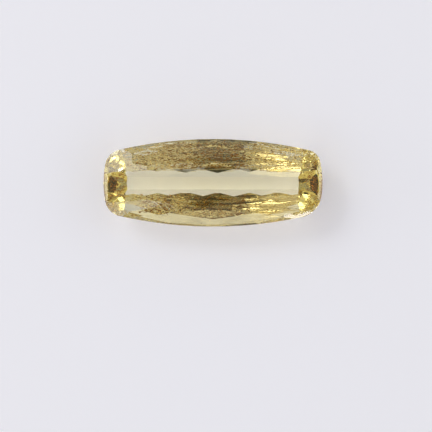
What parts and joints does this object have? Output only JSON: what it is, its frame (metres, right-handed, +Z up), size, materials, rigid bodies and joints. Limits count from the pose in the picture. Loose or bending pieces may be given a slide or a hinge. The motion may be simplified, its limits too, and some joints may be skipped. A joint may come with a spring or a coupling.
{
  "type": "cut heliodor gemstone",
  "caption": "Faceted golden beryl, a long cushion with a chequerboard crown and a stepped pavilion ending in a flat keel facet to rest on or set.",
  "frame": {"origin": "centre of the flat keel facet that the stone rests on", "axes": "+X along the stone's length, +Y across it, +Z up through the crown"},
  "size_m": [0.024, 0.0096, 0.0062],
  "materials": {
    "golden_beryl": "polished, clear golden yellow"
  },
  "bodies": {
    "root": {"heliodor": "golden_beryl"}
  },
  "joints": []
}
